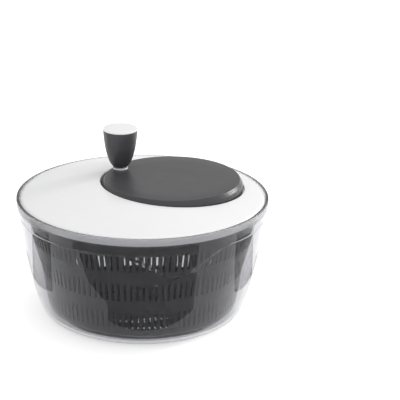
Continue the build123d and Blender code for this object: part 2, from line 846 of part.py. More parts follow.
with BuildPart() as knob_body:
    with BuildSketch(knob_plane):
        with BuildLine():
            grip = knob_cap_z - knob_z
            swell = knob_top_radius - knob_foot_radius
            side = Spline(
                (knob_foot_radius, knob_z),
                (knob_foot_radius + swell * 0.34, knob_z + grip * 0.12),
                (knob_foot_radius + swell * 0.58, knob_z + grip * 0.29),
                (knob_foot_radius + swell * 0.78, knob_z + grip * 0.5),
                (knob_foot_radius + swell * 0.92, knob_z + grip * 0.76),
                (knob_top_radius, knob_cap_z),
            )
            Polyline(side @ 1, (0, knob_cap_z), (0, knob_z), side @ 0)
        make_face()
    revolve(axis=knob_axis)
    with BuildSketch(Plane(origin=(knob_x, knob_y, knob_core_z))):
        Circle(knob_core_radius)
    with BuildSketch(Plane(origin=(knob_x, knob_y, knob_cap_z))):
        Circle(knob_mouth_radius)
    loft(mode=Mode.SUBTRACT)
    with BuildSketch(Plane(origin=(knob_x, knob_y, knob_z))):
        Circle(spindle_radius + shaft_play)
    extrude(amount=knob_core_height, mode=Mode.SUBTRACT)
save(knob_body.part, "knob_body")

with BuildPart() as knob_cap:
    with Locations((knob_x, knob_y, knob_cap_z)):
        Cylinder(knob_top_radius, knob_cap_height, align=(Align.CENTER, Align.CENTER, Align.MIN))
    fillet(knob_cap.edges().group_by(Axis.Z)[-1], knob_cap_height * 0.4)
    with BuildSketch(Plane(origin=(knob_x, knob_y, knob_cap_z))):
        Circle(knob_plug_radius)
        Circle(knob_plug_radius - knob_plug_wall, mode=Mode.SUBTRACT)
    extrude(amount=-knob_plug_depth)
save(knob_cap.part, "knob_cap")

save(
    retaining_clip(
        knob_x, knob_y, spindle_clip_z, spindle_radius, pin_groove,
        spindle_radius + knob_clip_width,
    ),
    "knob_clip",
)

# ---- drive: pinion, shaft and the spider that carries the basket round -------------------------

with BuildPart() as drive_shaft:
    with Locations((0, 0, shaft_foot)):
        Cylinder(shaft_radius, shaft_top - shaft_foot, align=(Align.CENTER, Align.CENTER, Align.MIN))
    chamfer(drive_shaft.edges().group_by(Axis.Z)[-1], shaft_chamfer)
    with Locations((0, 0, pinion_top)):
        Cylinder(
            shaft_radius * 1.5,
            clip_thickness,
            align=(Align.CENTER, Align.CENTER, Align.MIN),
            mode=Mode.SUBTRACT,
        )
        Cylinder(
            shaft_radius - pin_groove, clip_thickness, align=(Align.CENTER, Align.CENTER, Align.MIN)
        )
    with Locations((shaft_radius - shaft_flat, 0, shaft_foot)):
        Box(
            shaft_radius, shaft_radius * 2, thrust_washer_z - shaft_foot,
            align=(Align.MIN, Align.CENTER, Align.MIN), mode=Mode.SUBTRACT,
        )
    with Locations((0, 0, shaft_foot)):
        Cylinder(
            axle_screw_radius,
            axle_screw_length,
            align=(Align.CENTER, Align.CENTER, Align.MIN),
            mode=Mode.SUBTRACT,
        )
save(drive_shaft.part, "drive_shaft")

with BuildPart() as pinion:
    with BuildSketch(mesh_plane(0, 0, pinion_z)):
        Circle(pinion_pitch - tooth_dedendum * gear_module)
        with BuildLine():
            Polyline(
                *tooth_outline(
                    pinion_teeth,
                    pinion_pitch - tooth_dedendum * gear_module,
                    pinion_pitch + tooth_addendum * gear_module,
                    -gear_backlash,
                ),
                close=True,
            )
        tooth = make_face(mode=Mode.PRIVATE)
        with PolarLocations(0, pinion_teeth):
            add(tooth)
        Circle(shaft_radius, mode=Mode.SUBTRACT)
    extrude(amount=pinion_height)
save(pinion.part, "pinion")

save(
    retaining_clip(0, 0, pinion_top, shaft_radius, pin_groove, shaft_radius + clip_width),
    "pinion_clip",
)

with BuildPart() as thrust_washer:
    with Locations((0, 0, thrust_washer_z)):
        ring(shaft_radius, shaft_boss_radius, washer_thickness)
save(thrust_washer.part, "thrust_washer")

with BuildPart() as spider:
    with Locations((0, 0, spider_hub_z)):
        Cylinder(spider_hub_radius, spider_hub_height, align=(Align.CENTER, Align.CENTER, Align.MIN))
    with Locations((0, 0, spider_arm_z)):
        Cylinder(
            spider_plate_radius, spider_arm_thickness, align=(Align.CENTER, Align.CENTER, Align.MIN)
        )
    bend_end = basket_wall_top - basket_wall - spider_bend_inset
    bend_start = bend_end - spider_rise_run
    for arm in range(spider_arms):
        with BuildSketch(radial_plane(arm * 360 / spider_arms)):
            with BuildLine():
                Polyline(
                    (spider_hub_radius / 2, spider_arm_z),
                    (bend_start, spider_arm_z),
                    (bend_end, spider_end_z),
                    (spider_reach - key_length, spider_end_z),
                    (spider_reach - key_length, basket_rim_z - key_depth),
                    (spider_reach, basket_rim_z - key_depth),
                    (spider_reach, spider_end_z + spider_arm_thickness),
                    (bend_end - spider_bend_shift, spider_end_z + spider_arm_thickness),
                    (bend_start - spider_bend_shift, spider_arm_z + spider_arm_thickness),
                    (spider_hub_radius / 2, spider_arm_z + spider_arm_thickness),
                    close=True,
                )
            make_face()
        extrude(amount=spider_arm_width / 2, both=True)
    with BuildSketch(Plane.XY.offset(spider_hub_z)):
        Circle(shaft_radius)
        with Locations((shaft_radius - shaft_flat, 0)):
            Rectangle(
                shaft_radius, shaft_radius * 2, align=(Align.MIN, Align.CENTER), mode=Mode.SUBTRACT
            )
    extrude(amount=spider_hub_height, mode=Mode.SUBTRACT)
save(spider.part, "drive_spider")

with BuildPart() as spider_washer:
    with Locations((0, 0, spider_hub_z - washer_thickness)):
        ring(axle_screw_radius, spider_hub_radius - spider_washer_inset, washer_thickness)
save(spider_washer.part, "spider_washer")

save(
    machine_screw(
        0,
        0,
        spider_hub_z - washer_thickness - axle_screw_head,
        axle_screw_head_radius,
        axle_screw_head,
        axle_screw_radius,
        washer_thickness + axle_screw_length,
    ),
    "spider_screw",
)
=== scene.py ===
import math

import bmesh
import bpy
from mathutils import Matrix, Vector


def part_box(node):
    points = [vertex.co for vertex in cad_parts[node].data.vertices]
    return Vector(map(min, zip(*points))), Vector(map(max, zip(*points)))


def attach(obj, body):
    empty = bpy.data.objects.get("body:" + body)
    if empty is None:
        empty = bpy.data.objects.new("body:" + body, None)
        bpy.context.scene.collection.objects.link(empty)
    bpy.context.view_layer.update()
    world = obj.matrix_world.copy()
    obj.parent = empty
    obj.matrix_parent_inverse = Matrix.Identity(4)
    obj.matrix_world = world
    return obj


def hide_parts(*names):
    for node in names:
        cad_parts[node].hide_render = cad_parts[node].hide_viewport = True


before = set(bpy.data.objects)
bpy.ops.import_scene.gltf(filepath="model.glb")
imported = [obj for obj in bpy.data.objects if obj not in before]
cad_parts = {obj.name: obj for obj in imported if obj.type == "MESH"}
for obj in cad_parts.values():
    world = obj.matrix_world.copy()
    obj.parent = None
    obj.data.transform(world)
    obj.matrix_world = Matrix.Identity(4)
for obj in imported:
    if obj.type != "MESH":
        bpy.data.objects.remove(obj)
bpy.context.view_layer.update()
bpy.ops.object.select_all(action="DESELECT")

mm = 0.001
weldGap = 0.002 * mm            # points closer than this are one point
axis = {"center": (0, 0, 0), "axis": (0, 0, 1)}

# places that the frame gives
bowlLow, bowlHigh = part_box("bowl")
discLow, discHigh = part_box("crank_disc")
knobLow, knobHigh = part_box("knob_body")
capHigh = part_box("knob_cap")[1]
collarLow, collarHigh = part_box("knob_collar")
crankCentre = (discLow + discHigh) / 2
knobCentre = (knobLow + knobHigh) / 2
discRadius = (discHigh.x - discLow.x) / 2


class Pen:  # draws half a section, as x out from the axis and z up
    def __init__(self, x, z):
        self.points = [(x, z)]
        self.heading = 0.0

    def line(self, x, z):
        x0, z0 = self.points[-1]
        self.heading = math.atan2(z - z0, x - x0)
        self.points.append((x, z))
        return self

    def turn(self, radius, degrees, steps):
        side = math.copysign(1, degrees)
        x0, z0 = self.points[-1]
        start = self.heading
        for step in range(1, steps + 1):
            angle = start + math.radians(degrees) * step / steps
            self.points.append((
                x0 + side * radius * (math.sin(angle) - math.sin(start)),
                z0 - side * radius * (math.cos(angle) - math.cos(start)),
            ))
        self.heading = start + math.radians(degrees)
        return self

    def arcTo(self, x, z, steps):  # the arc that leaves along the heading and ends here
        x0, z0 = self.points[-1]
        chord = math.hypot(x - x0, z - z0)
        half = math.remainder(math.atan2(z - z0, x - x0) - self.heading, math.tau)
        if math.isclose(half, 0, abs_tol=1e-6):
            return self.line(x, z)
        return self.turn(chord / (2 * math.sin(abs(half))), math.degrees(2 * half), steps)


def throughPoints(points, steps):  # a smooth line through a few points
    ends = [points[0]] + list(points) + [points[-1]]
    line = [points[0]]
    for before, start, end, after in zip(ends, ends[1:], ends[2:], ends[3:]):
        for step in range(1, steps + 1):
            t = step / steps
            line.append(tuple(
                0.5 * (
                    2 * b + (c - a) * t + (2 * a - 5 * b + 4 * c - d) * t**2
                    + (3 * b - a - 3 * c + d) * t**3
                )
                for a, b, c, d in zip(before, start, end, after)
            ))
    return line


def drawOutline(name, points, centre=(0, 0)):  # leaves the new outline in edit mode
    bpy.ops.object.select_all(action="DESELECT")
    bpy.ops.mesh.primitive_plane_add(size=mm)
    bpy.context.object.name = name
    bpy.ops.object.mode_set(mode="EDIT")
    bpy.ops.mesh.merge(type="CENTER")
    bpy.ops.transform.translate(value=(centre[0] + points[0][0], centre[1], points[0][1]))
    for (x0, z0), (x1, z1) in zip(points, points[1:]):
        bpy.ops.mesh.extrude_region_move(
            TRANSFORM_OT_translate={"value": (x1 - x0, 0, z1 - z0)}
        )


def selectWhere(kind, test):  # edit mode: selects the edges or faces that pass
    mesh = bmesh.from_edit_mesh(bpy.context.edit_object.data)
    for part in list(mesh.verts) + list(mesh.edges) + list(mesh.faces):
        part.select = False
    for part in getattr(mesh, kind):
        if test(part):
            part.select_set(True)
    bmesh.update_edit_mesh(bpy.context.edit_object.data)


def middle(part):
    total = Vector((0, 0, 0))
    for vert in part.verts:
        total += vert.co
    return total / len(part.verts)


def mergePoints():
    bpy.ops.mesh.select_all(action="SELECT")
    bpy.ops.mesh.remove_doubles(threshold=weldGap)


def weld():
    mergePoints()
    bpy.ops.mesh.normals_make_consistent(inside=False)


def finishMesh(angle):
    bpy.ops.object.mode_set(mode="OBJECT")
    bpy.ops.object.transform_apply(location=True, rotation=True, scale=True)
    bpy.ops.object.shade_smooth_by_angle(angle=math.radians(angle))
    return bpy.context.object


def spinPiece(name, points, steps, centre=(0, 0), angle=35):
    drawOutline(name, points, centre)
    bpy.ops.mesh.select_all(action="SELECT")
    bpy.ops.mesh.spin(
        steps=steps, angle=math.tau, center=(centre[0], centre[1], 0), axis=(0, 0, 1)
    )
    weld()
    return finishMesh(angle)


def useModifier(piece, kind, **settings):
    modifier = piece.modifiers.new(kind.title(), kind)
    for setting, value in settings.items():
        setattr(modifier, setting, value)
    bpy.context.view_layer.objects.active = piece
    bpy.ops.object.modifier_apply(modifier=modifier.name)


class Wire:  # a socket of a shader, so that sums on it are written as Python
    def __init__(self, tree, socket=None):
        self.tree = tree
        self.socket = socket

    def node(self, kind, settings=None, sockets=None, output=0):
        made = self.tree.nodes.new(kind)
        for setting, value in (settings or {}).items():
            setattr(made, setting, value)
        for name, value in (sockets or {}).items():
            if isinstance(value, Wire):
                self.tree.links.new(value.socket, made.inputs[name])
            else:
                made.inputs[name].default_value = value
        return Wire(self.tree, made.outputs[output])

    def sum(self, operation, left, right):
        return self.node("ShaderNodeMath", {"operation": operation}, {0: left, 1: right})

    def __add__(self, other):
        return self.sum("ADD", self, other)

    def __radd__(self, other):
        return self.sum("ADD", other, self)

    def __sub__(self, other):
        return self.sum("SUBTRACT", self, other)

    def __rsub__(self, other):
        return self.sum("SUBTRACT", other, self)

    def __mul__(self, other):
        return self.sum("MULTIPLY", self, other)

    def __rmul__(self, other):
        return self.sum("MULTIPLY", other, self)

    def __pow__(self, other):
        return self.sum("POWER", self, other)


def newMaterial(name):
    material = bpy.data.materials.new(name)
    material.use_nodes = True
    material.node_tree.nodes.clear()
    return material, Wire(material.node_tree)


def setSurface(wire, shader, volume=None):
    output = wire.tree.nodes.new("ShaderNodeOutputMaterial")
    wire.tree.links.new(shader.socket, output.inputs["Surface"])
    if volume:
        wire.tree.links.new(volume.socket, output.inputs["Volume"])


def noise(wire, scale, detail, roughness=0.5):  # scale is in features per metre
    place = wire.node("ShaderNodeTexCoord", output="Object")
    return wire.node(
        "ShaderNodeTexNoise", {},
        {"Vector": place, "Scale": scale, "Detail": detail, "Roughness": roughness},
    )


def tint(wire, amount, dark, light):  # sockets 6, 7 and output 2 are the colours
    return wire.node(
        "ShaderNodeMix", {"data_type": "RGBA"},
        {"Factor": amount, 6: (*dark, 1), 7: (*light, 1)}, output=2,
    )


def bump(wire, height, depth):
    return wire.node(
        "ShaderNodeBump", {}, {"Strength": 1.0, "Distance": depth, "Height": height}
    )


def mouldedPlastic(name, look):
    material, wire = newMaterial(name)
    cloud = noise(wire, look["cloudScale"], detail=4)
    grain = noise(wire, look["grainScale"], detail=2, roughness=0.6)
    swirl = noise(wire, look["swirlScale"], detail=2)
    shader = wire.node("ShaderNodeBsdfPrincipled", {}, {
        "Base Color": tint(wire, cloud, look["dark"], look["light"]),
        "Roughness": look["roughness"] + look["roughnessSpread"] * (swirl - 0.5),
        "IOR": 1.5,
        "Normal": bump(wire, grain + 2.0 * swirl, look["grainDepth"]),
    })
    setSurface(wire, shader)
    return material


def clearPlastic(name, look):
    material, wire = newMaterial(name)
    wave = noise(wire, look["waveScale"], detail=1)
    haze = noise(wire, look["hazeScale"], detail=4)
    place = wire.node("ShaderNodeTexCoord", output="Object")
    height = wire.node("ShaderNodeSeparateXYZ", {}, {"Vector": place}, output="Z")
    satin = wire.node("ShaderNodeMapRange", {"interpolation_type": "SMOOTHSTEP"}, {
        "Value": height, "From Min": look["frostFrom"], "From Max": look["frostTo"],
    })
    hazy = look["roughnessSpread"] * haze ** 3
    glass = wire.node("ShaderNodeBsdfPrincipled", {}, {
        "Base Color": (*look["colour"], 1),
        "Roughness": look["roughness"] + hazy + look["frost"] * satin,
        "IOR": look["ior"],
        "Specular Tint": (*look["gloss"], 1),
        "Transmission Weight": 1.0,
        "Normal": bump(wire, wave, look["waveDepth"]),
    })
    lampRay = wire.node("ShaderNodeLightPath", output="Is Shadow Ray")
    opening = wire.node("ShaderNodeBsdfTransparent", {}, {"Color": (*look["lampThrough"], 1)})
    inside = wire.node(
        "ShaderNodeVolumeAbsorption", {},
        {"Color": (*look["absorbed"], 1), "Density": look["density"]},
    )
    shader = wire.node("ShaderNodeMixShader", {}, {0: lampRay, 1: glass, 2: opening})
    setSurface(wire, shader, inside)
    return material


def turnedSteel(name, look):
    material, wire = newMaterial(name)
    turned = noise(wire, look["turnedScale"], detail=5)
    scuff = noise(wire, look["scuffScale"], detail=3)
    shader = wire.node("ShaderNodeBsdfPrincipled", {}, {
        "Base Color": tint(wire, scuff, look["dark"], look["light"]),
        "Metallic": 1.0,
        "Roughness": look["roughness"] + look["roughnessSpread"] * (scuff - 0.5),
        "Normal": bump(wire, turned, look["turnedDepth"]),
    })
    setSurface(wire, shader)
    return material


# every scale is in features per metre, and a spread is the change from least to most
whiteLook = {
    "dark": (0.84, 0.84, 0.85), "light": (0.89, 0.89, 0.89),
    "roughness": 0.22, "roughnessSpread": 0.16,
    "cloudScale": 18, "grainScale": 2600, "swirlScale": 60, "grainDepth": 0.004 * mm,
}
discLook = {
    "dark": (0.045, 0.044, 0.048), "light": (0.068, 0.066, 0.069),
    "roughness": 0.34, "roughnessSpread": 0.12,
    "cloudScale": 14, "grainScale": 1900, "swirlScale": 45, "grainDepth": 0.02 * mm,
}
knobLook = {
    "dark": (0.042, 0.042, 0.047), "light": (0.062, 0.061, 0.066),
    "roughness": 0.38, "roughnessSpread": 0.14,
    "cloudScale": 30, "grainScale": 1900, "swirlScale": 60, "grainDepth": 0.018 * mm,
}
blackLook = {
    "dark": (0.010, 0.010, 0.011), "light": (0.018, 0.018, 0.019),
    "roughness": 0.18, "roughnessSpread": 0.1,
    "cloudScale": 25, "grainScale": 1500, "swirlScale": 70, "grainDepth": 0.006 * mm,
}
nylonLook = {
    "dark": (0.02, 0.02, 0.022), "light": (0.035, 0.035, 0.037),
    "roughness": 0.5, "roughnessSpread": 0.16,
    "cloudScale": 60, "grainScale": 1800, "swirlScale": 90, "grainDepth": 0.015 * mm,
}
acetalLook = {
    "dark": (0.72, 0.72, 0.7), "light": (0.8, 0.8, 0.78),
    "roughness": 0.35, "roughnessSpread": 0.14,
    "cloudScale": 70, "grainScale": 2200, "swirlScale": 120, "grainDepth": 0.006 * mm,
}
siliconeLook = {
    "dark": (0.6, 0.61, 0.63), "light": (0.7, 0.7, 0.72),
    "roughness": 0.55, "roughnessSpread": 0.14,
    "cloudScale": 50, "grainScale": 1500, "swirlScale": 80, "grainDepth": 0.01 * mm,
}
clearLook = {
    "colour": (0.66, 0.66, 0.68), "gloss": (0.55, 0.55, 0.56), "ior": 1.49,
    "roughness": 0.012, "roughnessSpread": 0.03, "hazeScale": 150,
    "frost": 0.24, "frostFrom": 117 * mm, "frostTo": 120 * mm,  # the lip is satin
    "absorbed": (0.80, 0.80, 0.815), "density": 8,
    "waveScale": 30, "waveDepth": 0.012 * mm,
    "lampThrough": (0.9, 0.9, 0.9),     # lamps shine straight through
}
steelLook = {
    "dark": (0.5, 0.5, 0.51), "light": (0.68, 0.68, 0.69),
    "roughness": 0.26, "roughnessSpread": 0.2,
    "turnedScale": 900, "turnedDepth": 0.004 * mm, "scuffScale": 200,
}

white = mouldedPlastic("whitePlastic", whiteLook)
grey = mouldedPlastic("greySatinPlastic", discLook)
knobGrey = mouldedPlastic("knobSatinPlastic", knobLook)
black = mouldedPlastic("blackPlastic", blackLook)
nylon = mouldedPlastic("darkNylon", nylonLook)
acetal = mouldedPlastic("whiteAcetal", acetalLook)
silicone = mouldedPlastic("softSilicone", siliconeLook)
clear = clearPlastic("clearPlastic", clearLook)
steel = turnedSteel("brightSteel", steelLook)
print("finishes made")


def dress(piece, material, slotName, body, *nodes):
    piece.data.materials.clear()
    piece.data.materials.append(material)
    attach(piece, body)
    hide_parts(*nodes)


bowl = {
    "wall": 2.6 * mm,
    "floor": 3.0 * mm,
    "baseRadius": 90 * mm,
    "cornerRadius": 17 * mm,
    "cornerTurn": 70,           # degrees
    "waist": (123 * mm, 80 * mm),
    "collar": (127.3 * mm, 109.5 * mm),
    "collarProud": 0.7 * mm,
    "lipWidth": 3.6 * mm,
    "lipRound": 1.62 * mm,
    "seatDepth": 8.4 * mm,
    "seatWidth": 3.2 * mm,
    "registerHeight": 17.5 * mm,
    "footGroove": (80 * mm, 87 * mm, 1.4 * mm),     # from, to, depth
    "postRadius": 6 * mm,
    "postHeight": 8 * mm,
    "postBevel": 1 * mm,
    "apronAngle": -72,          # degrees
    "apronDepth": 24 * mm,
    "apronHalfWidth": 58 * mm,
    "apronRows": 60,
    "apronEdge": 0.9 * mm,      # height over which the skin rises
    "beadHeight": 1.6 * mm,
    "beadShare": 0.55,          # of how far the skin stands proud
    "steps": 360,
}


def bowlOutline(size):
    rim, top, under = bowlHigh.x, bowlHigh.z, bowlLow.z
    lip = rim - size["lipWidth"]
    seat = top - size["seatDepth"]
    register = lip - size["seatWidth"]
    grooveIn, grooveOut, grooveDepth = size["footGroove"]
    collarX, collarZ = size["collar"]
    waistX, waistZ = size["waist"]
    proud, soft = size["collarProud"], size["lipRound"]
    base, corner, bend = size["baseRadius"], size["cornerRadius"], size["cornerTurn"]
    floor = under + size["floor"]
    pen = Pen(0, under).line(grooveIn, under).line(grooveIn, under + grooveDepth)
    pen.line(grooveOut, under + grooveDepth).line(grooveOut, under).line(base, under)
    pen.turn(corner, bend, steps=10).arcTo(waistX, waistZ, steps=16)
    for row in range(1, size["apronRows"] + 1):
        share = row / size["apronRows"]
        pen.line(waistX + (collarX - waistX) * share, waistZ + (collarZ - waistZ) * share)
    pen.line(collarX + proud, collarZ + proud / 2).line(collarX + proud, collarZ + proud)
    pen.line(rim, top - size["seatDepth"] / 2).line(rim, top - soft)
    pen.turn(soft, 90, steps=5).line(lip + soft, top).turn(soft, 90, steps=5)
    pen.line(lip, seat).line(register, seat).line(register, seat - size["registerHeight"])
    inside = Pen(0, floor).line(base, floor)
    inside.turn(corner - size["floor"], bend, steps=8)
    inside.arcTo(waistX - size["wall"], waistZ, steps=14)
    postTop, post, bevel = floor + size["postHeight"], size["postRadius"], size["postBevel"]
    stem = [(post, floor), (post, postTop - bevel), (post - bevel, postTop), (0, postTop)]
    return pen.points + inside.points[:0:-1] + stem


def raiseApron(piece, size):  # the pouring apron is a skin that stands proud under the collar
    group = piece.vertex_groups.new(name="apron")
    facing = math.radians(size["apronAngle"])
    across = Vector((-math.sin(facing), math.cos(facing), 0))
    outward = Vector((math.cos(facing), math.sin(facing), 0))
    waistX, waistZ = size["waist"]
    collarZ = size["collar"][1]
    touch = 0.01 * mm           # points this near the collar's line lie on it
    for vert in piece.data.vertices:
        if not waistZ <= vert.co.z <= collarZ + touch:
            continue
        if vert.co.xy.length < waistX - size["wall"] / 2:
            continue
        edge = collarZ
        side = abs(vert.co.dot(across)) / size["apronHalfWidth"]
        if side < 1 and vert.co.dot(outward) > 0:
            edge -= size["apronDepth"] * (0.5 + 0.5 * math.cos(math.pi * side))
        rise = vert.co.z - edge
        if rise > 0:
            weight = min(1.0, rise / size["apronEdge"])
        else:  # a fine bead runs along the foot of the skin
            down = min(1.0, -rise / size["beadHeight"])
            weight = size["beadShare"] * math.sin(math.pi * down)
        if edge == collarZ and rise > -touch:
            weight = 0
        if weight > 0:
            group.add([vert.index], weight, "REPLACE")
    useModifier(
        piece, "DISPLACE", vertex_group="apron", strength=size["collarProud"], mid_level=0
    )


clearBowl = spinPiece("clearBowl", bowlOutline(bowl), bowl["steps"])
raiseApron(clearBowl, bowl)
dress(clearBowl, clear, "clear_plastic", "bowl", "bowl")
print("bowl made")

footRing = {
    "inner": 80.1 * mm,
    "outer": 86.9 * mm,
    "top": 2.5 * mm,
    "round": 0.9 * mm,
    "steps": 256,
}


def footRingOutline(size):
    inner, outer, soft = size["inner"], size["outer"], size["round"]
    pen = Pen(inner + soft, 0).line(outer - soft, 0).turn(soft, 90, steps=5)
    pen.line(outer, size["top"]).line(inner, size["top"]).line(inner, soft)
    return pen.turn(soft, 90, steps=5).points


softRing = spinPiece("footRing", footRingOutline(footRing), footRing["steps"])
dress(softRing, silicone, "soft_silicone", "bowl", "foot_ring")
print("foot ring made")

basket = {
    "wall": 2.2 * mm,
    "floor": 10 * mm,
    "lean": 8.8,                # degrees
    "cornerRadius": 9 * mm,
    "wallTop": 115.5 * mm,
    "rimRadius": 117.8 * mm,
    "rimTop": 121.5 * mm,
    "slotCount": 108,
    "slotWidth": 2.7 * mm,
    "slotRows": ((20.4 * mm, 38.7 * mm), (53.3 * mm, 71.6 * mm), (86.2 * mm, 104.5 * mm)),
    "floorRows": ((26 * mm, 42 * mm, 36), (48 * mm, 64 * mm, 60), (70 * mm, 84 * mm, 84)),
    "floorSlotWidth": 2.4 * mm,
    "hub": ((6.4 * mm, 20.3 * mm), (12.5 * mm, 20.3 * mm), (19.5 * mm, 10 * mm)),
    "hubSkirt": 2.4 * mm,       # flat ring round the hub's foot
    "hubSteps": 72,
    "seam": 0.6 * mm,           # strip that joins one ring of the floor to the next
    "edgeRound": 0.35 * mm,
    "notch": (107 * mm, 116.6 * mm, 14.8 * mm, 118.1 * mm),   # from, to, width, floor
    "notchCut": 10 * mm,        # how tall the cutter is
    "notches": 3,
    "crease": 40,               # degrees, above which an edge is sharp
}


def slottedBand(name, points, count, slotWidth, isSlot):
    # one slot and one rib are made, the slot is opened, and the pair is copied round
    slotRadius = max(x for x, z in points)
    pitch = math.tau / count
    slotTurn = slotWidth / slotRadius
    drawOutline(name, points)
    bpy.ops.mesh.select_all(action="SELECT")
    bpy.ops.mesh.spin(steps=1, angle=slotTurn, **axis)
    bpy.ops.mesh.spin(steps=1, angle=pitch - slotTurn, **axis)

    def opens(face):
        place = middle(face)
        turned = abs(math.atan2(place.y, place.x)) < slotTurn
        return turned and isSlot(place)

    selectWhere("faces", opens)
    bpy.ops.mesh.delete(type="FACE")
    bpy.ops.mesh.select_all(action="SELECT")
    bpy.ops.mesh.spin(steps=count - 1, angle=pitch * (count - 1), dupli=True, **axis)
    mergePoints()
    bpy.ops.object.mode_set(mode="OBJECT")
    return bpy.context.object


def basketWallOutline(size):
    floor, corner = size["floor"], size["cornerRadius"]
    slope = math.tan(math.radians(size["lean"]))
    turn = 90 - size["lean"]
    flange = size["rimTop"] - size["wall"]
    cornerTop = floor + corner * (1 - math.cos(math.radians(turn)))
    cornerOut = size["wallTop"] - (flange - cornerTop) * slope
    pen = Pen(size["floorRows"][-1][1] + 2 * size["seam"], floor)
    pen.line(cornerOut - corner * math.sin(math.radians(turn)), floor)
    pen.turn(corner, turn, steps=8)
    for level in [z for row in size["slotRows"] for z in row] + [flange]:
        pen.line(size["wallTop"] - (flange - level) * slope, level)
    return pen.line(size["rimRadius"], flange).points


def openBasket(size):  # one thin sheet, in bands that are joined at their seams
    floor, seam = size["floor"], size["seam"]
    parts = [slottedBand(
        "slottedBasket", basketWallOutline(size), size["slotCount"], size["slotWidth"],
        lambda place: any(low < place.z < high for low, high in size["slotRows"]),
    )]
    inner = size["hub"][-1][0] + size["hubSkirt"]
    hubEnd = inner
    seams = []
    for start, end, count in size["floorRows"]:
        line = [(radius, floor) for radius in (inner + seam, start, end, end + seam)]
        parts.append(slottedBand(
            "floorBand", line, count, size["floorSlotWidth"] * end / (start + end) * 2,
            lambda place, low=start, high=end: low < place.xy.length < high,
        ))
        seams.append(inner + seam / 2)
        inner = end + seam
    seams.append(inner + seam / 2)
    drawOutline("hub", list(size["hub"]) + [(hubEnd, floor)])
    bpy.ops.mesh.select_all(action="SELECT")
    bpy.ops.mesh.spin(steps=size["hubSteps"], angle=math.tau, **axis)
    mergePoints()
    bpy.ops.object.mode_set(mode="OBJECT")
    parts.append(bpy.context.object)
    for part in parts:
        part.select_set(True)
    bpy.context.view_layer.objects.active = parts[0]
    bpy.ops.object.join()
    bpy.ops.object.mode_set(mode="EDIT")
    for radius in seams:
        selectWhere("edges", lambda edge: edge.is_boundary and all(
            abs(vert.co.xy.length - radius) < seam and vert.co.z < floor + mm
            for vert in edge.verts
        ))
        bpy.ops.mesh.bridge_edge_loops()
    weld()
    mesh = bmesh.from_edit_mesh(parts[0].data)
    if min(mesh.faces, key=lambda face: middle(face).z).normal.z > 0:
        bpy.ops.mesh.flip_normals()
    bpy.ops.object.mode_set(mode="OBJECT")
    return parts[0]


def cutNotches(piece, size):  # the drive spider's arms drop into these
    start, end, width, level = size["notch"]
    tall = size["notchCut"]
    for arm in range(size["notches"]):
        bpy.ops.object.select_all(action="DESELECT")
        bpy.ops.mesh.primitive_cube_add(size=1)
        cutter = bpy.context.object
        cutter.data.transform(
            Matrix.Rotation(math.tau * arm / size["notches"], 4, "Z")
            @ Matrix.Translation(Vector(((start + end) / 2, 0, level + tall / 2)))
            @ Matrix.Diagonal((end - start, width, tall, 1))
        )
        useModifier(piece, "BOOLEAN", object=cutter, operation="DIFFERENCE", solver="EXACT")
        bpy.data.objects.remove(cutter)


def slottedBasket(size):
    piece = openBasket(size)
    useModifier(piece, "SOLIDIFY", thickness=size["wall"], offset=-1, use_even_offset=True)
    useModifier(
        piece, "BEVEL", width=size["edgeRound"], segments=2, limit_method="ANGLE",
        angle_limit=math.radians(size["crease"]),
    )
    cutNotches(piece, size)
    piece.select_set(True)
    bpy.context.view_layer.objects.active = piece
    return finishMesh(size["crease"])


dress(slottedBasket(basket), black, "black_plastic", "basket", "basket")
print("basket made")

lid = {
    "radius": 125.9 * mm,
    "wall": 2.4 * mm,
    "bottom": 119.8 * mm,
    "edge": 127.4 * mm,         # level of the dome's edge, and of the well's floor
    "edgeRound": 4 * mm,
    "edgeRings": 4,
    "rise": 13.2 * mm,
    "wellClearance": 1.7 * mm,
    "wellRound": 0.6 * mm,
    "joinRadius": 117 * mm,     # the rings are round the lid's own axis from here out
    "joinRings": 9,
    "steps": 256,
    "crease": 40,               # degrees
}
ballRadius = (lid["radius"] ** 2 + lid["rise"] ** 2) / (2 * lid["rise"])


def domeHeight(size, x, y):
    return size["edge"] + size["rise"] - ballRadius + math.sqrt(ballRadius**2 - x**2 - y**2)


def growRing(rings, x, y, z, radius):  # rings ends with the loop that is selected
    x0, y0, z0, radius0 = rings[-1]
    bpy.ops.mesh.extrude_region_move()
    grow = radius / radius0
    bpy.ops.transform.resize(value=(grow, grow, 1), center_override=(x0, y0, z0))
    bpy.ops.transform.translate(value=(x - x0, y - y0, z - z0))
    rings.append((x, y, z, radius))


def lidEdgeOutline(size):
    join, soft = size["joinRadius"], size["edgeRound"]
    slope = math.degrees(math.asin((size["radius"] - soft) / (ballRadius - soft)))
    bend = size["radius"] - soft * (1 - math.sin(math.radians(slope)))
    pen = Pen(join, domeHeight(size, join, 0))
    for step in range(1, size["edgeRings"] + 1):
        x = join + (bend - join) * step / size["edgeRings"]
        pen.line(x, domeHeight(size, x, 0))
    pen.heading = math.radians(-slope)
    return pen.turn(soft, slope - 90, steps=8).line(size["radius"], size["bottom"]).points


